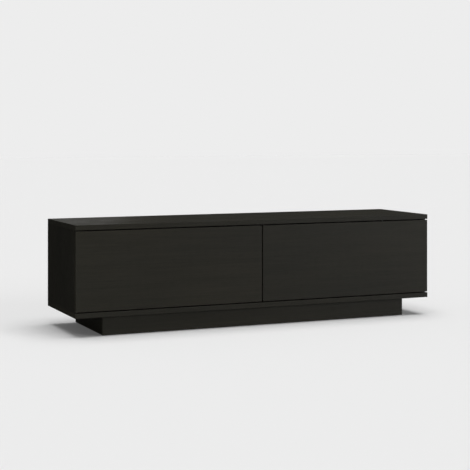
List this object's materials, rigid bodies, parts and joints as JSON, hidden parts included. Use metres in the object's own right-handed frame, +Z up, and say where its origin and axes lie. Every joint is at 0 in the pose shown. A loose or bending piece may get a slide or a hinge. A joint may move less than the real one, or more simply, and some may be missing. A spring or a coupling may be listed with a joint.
{
  "type": "low dresser with drawers",
  "caption": "Low, wide dresser in near-black wood: handle-less push-to-open drawers side by side on ball slides, in a carcass that overhangs a recessed plinth with levelling feet.",
  "frame": {"origin": "on the floor, under the middle of the carcass", "axes": "+X to the right of someone facing the drawers, +Y from the fronts to the back, +Z up; the drawers open along -Y"},
  "size_m": [1.51, 0.384, 0.415],
  "materials": {
    "dark_wood": "near-black stained wood veneer, satin, fine straight grain",
    "back_board": "thin board, stained near-black, matt",
    "drawer_wood": "dark brown wood foil, matt",
    "plain_wood": "dark stained softwood, unseen framing",
    "dowel_wood": "turned beech",
    "zinc_plated_steel": "zinc-plated, satin",
    "spring_steel": "drawn wire",
    "die_cast_zinc": "die cast, matt",
    "black_plastic": "moulded, matt",
    "light_plastic": "moulded, matt, light grey"
  },
  "bodies": {
    "cabinet": {"top_panel": "dark_wood", "bottom_panel": "dark_wood", "left_side_panel": "dark_wood", "centre_divider": "dark_wood", "right_side_panel": "dark_wood", "left_back_panel": "back_board", "right_back_panel": "back_board", "plinth_front_board": "dark_wood", "plinth_back_board": "dark_wood", "plinth_left_board": "dark_wood", "plinth_right_board": "dark_wood", "plinth_cross_rail": "plain_wood", "plinth_corner_blocks": "plain_wood", "foot_sockets": "zinc_plated_steel", "plinth_screws": "zinc_plated_steel", "cam_housings": "die_cast_zinc", "cam_bolts": "die_cast_zinc", "dowels": "dowel_wood", "left_bay_outer_rails": "zinc_plated_steel", "right_bay_outer_rails": "zinc_plated_steel", "slide_and_latch_screws": "zinc_plated_steel", "latch_housings": "black_plastic"},
    "left_latch": {"left_latch_plungers": "light_plastic", "left_latch_springs": "spring_steel"},
    "left_drawer": {"left_drawer_front": "dark_wood", "left_drawer_inner_front": "drawer_wood", "left_drawer_left_side": "drawer_wood", "left_drawer_right_side": "drawer_wood", "left_drawer_back": "drawer_wood", "left_drawer_base": "drawer_wood", "left_drawer_box_screws": "zinc_plated_steel", "left_drawer_front_screws": "zinc_plated_steel", "left_drawer_rail_screws": "zinc_plated_steel", "left_drawer_rails": "zinc_plated_steel", "left_drawer_strikers": "zinc_plated_steel"},
    "left_middle_rails": {"left_bay_middle_rails": "zinc_plated_steel"},
    "left_outer_cages": {"left_bay_outer_ball_cages": "zinc_plated_steel"},
    "left_inner_cages": {"left_bay_inner_ball_cages": "zinc_plated_steel"},
    "right_latch": {"right_latch_plungers": "light_plastic", "right_latch_springs": "spring_steel"},
    "right_drawer": {"right_drawer_front": "dark_wood", "right_drawer_inner_front": "drawer_wood", "right_drawer_left_side": "drawer_wood", "right_drawer_right_side": "drawer_wood", "right_drawer_back": "drawer_wood", "right_drawer_base": "drawer_wood", "right_drawer_box_screws": "zinc_plated_steel", "right_drawer_front_screws": "zinc_plated_steel", "right_drawer_rail_screws": "zinc_plated_steel", "right_drawer_rails": "zinc_plated_steel", "right_drawer_strikers": "zinc_plated_steel"},
    "right_middle_rails": {"right_bay_middle_rails": "zinc_plated_steel"},
    "right_outer_cages": {"right_bay_outer_ball_cages": "zinc_plated_steel"},
    "right_inner_cages": {"right_bay_inner_ball_cages": "zinc_plated_steel"},
    "front_left_foot": {"front_left_foot": "black_plastic"},
    "front_right_foot": {"front_right_foot": "black_plastic"},
    "back_left_foot": {"back_left_foot": "black_plastic"},
    "back_right_foot": {"back_right_foot": "black_plastic"}
  },
  "joints": [
    {"name": "left_push", "type": "slide", "parent": "cabinet", "child": "left_latch", "axis": [0, -1, 0], "range_m": [-0.0025, 0], "stiffness_N_per_m": 2000, "springref_m": 0.005, "deforming": ["left_latch_springs"]},
    {"name": "left_drawer_slide", "type": "slide", "parent": "left_latch", "child": "left_drawer", "axis": [0, -1, 0], "range_m": [0, 0.3]},
    {"name": "left_middle_rails_slide", "type": "slide", "parent": "cabinet", "child": "left_middle_rails", "axis": [0, -1, 0], "range_m": [0, 0.15]},
    {"name": "left_outer_cages_slide", "type": "slide", "parent": "cabinet", "child": "left_outer_cages", "axis": [0, -1, 0], "range_m": [0, 0.075]},
    {"name": "left_inner_cages_slide", "type": "slide", "parent": "cabinet", "child": "left_inner_cages", "axis": [0, -1, 0], "range_m": [0, 0.225]},
    {"name": "right_push", "type": "slide", "parent": "cabinet", "child": "right_latch", "axis": [0, -1, 0], "range_m": [-0.0025, 0], "stiffness_N_per_m": 2000, "springref_m": 0.005, "deforming": ["right_latch_springs"]},
    {"name": "right_drawer_slide", "type": "slide", "parent": "right_latch", "child": "right_drawer", "axis": [0, -1, 0], "range_m": [0, 0.3]},
    {"name": "right_middle_rails_slide", "type": "slide", "parent": "cabinet", "child": "right_middle_rails", "axis": [0, -1, 0], "range_m": [0, 0.15]},
    {"name": "right_outer_cages_slide", "type": "slide", "parent": "cabinet", "child": "right_outer_cages", "axis": [0, -1, 0], "range_m": [0, 0.075]},
    {"name": "right_inner_cages_slide", "type": "slide", "parent": "cabinet", "child": "right_inner_cages", "axis": [0, -1, 0], "range_m": [0, 0.225]},
    {"name": "front_left_foot_height", "type": "slide", "parent": "cabinet", "child": "front_left_foot", "axis": [0, 0, 1], "range_m": [-0.01, 0]},
    {"name": "front_right_foot_height", "type": "slide", "parent": "cabinet", "child": "front_right_foot", "axis": [0, 0, 1], "range_m": [-0.01, 0]},
    {"name": "back_left_foot_height", "type": "slide", "parent": "cabinet", "child": "back_left_foot", "axis": [0, 0, 1], "range_m": [-0.01, 0]},
    {"name": "back_right_foot_height", "type": "slide", "parent": "cabinet", "child": "back_right_foot", "axis": [0, 0, 1], "range_m": [-0.01, 0]}
  ],
  "couplings": [
    {"joint": "left_middle_rails_slide", "follows": "left_drawer_slide", "ratio": 0.5},
    {"joint": "left_outer_cages_slide", "follows": "left_drawer_slide", "ratio": 0.25},
    {"joint": "left_inner_cages_slide", "follows": "left_drawer_slide", "ratio": 0.75},
    {"joint": "right_middle_rails_slide", "follows": "right_drawer_slide", "ratio": 0.5},
    {"joint": "right_outer_cages_slide", "follows": "right_drawer_slide", "ratio": 0.25},
    {"joint": "right_inner_cages_slide", "follows": "right_drawer_slide", "ratio": 0.75}
  ]
}
